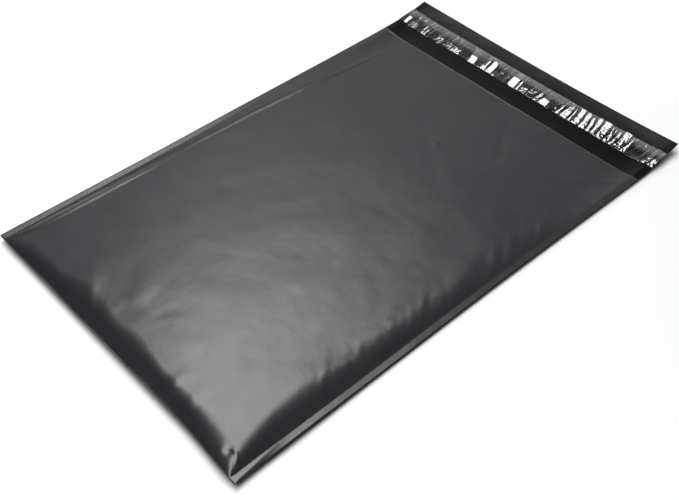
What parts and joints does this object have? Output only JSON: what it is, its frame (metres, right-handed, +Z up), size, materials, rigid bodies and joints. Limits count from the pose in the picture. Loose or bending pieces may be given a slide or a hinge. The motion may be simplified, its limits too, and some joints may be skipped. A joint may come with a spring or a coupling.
{
  "type": "poly mailer bag",
  "caption": "Flat mailing bag of film, folded at the bottom and welded at both sides, puffed with a little air, with a glue flap under a clear crinkled liner.",
  "frame": {"origin": "on the ground, under the middle of the bag's outline", "axes": "+X across the bag, +Y from the bottom fold to the flap, +Z up out of the face"},
  "size_m": [0.25, 0.3948, 0.0129],
  "materials": {
    "film": "satin polyethylene film, dark grey outside, black inside",
    "adhesive": "dark hot-melt glue",
    "liner": "clear glossy crinkled film"
  },
  "bodies": {
    "root": {"film_bag": "film", "adhesive_strip": "adhesive", "release_liner": "liner"}
  },
  "joints": []
}
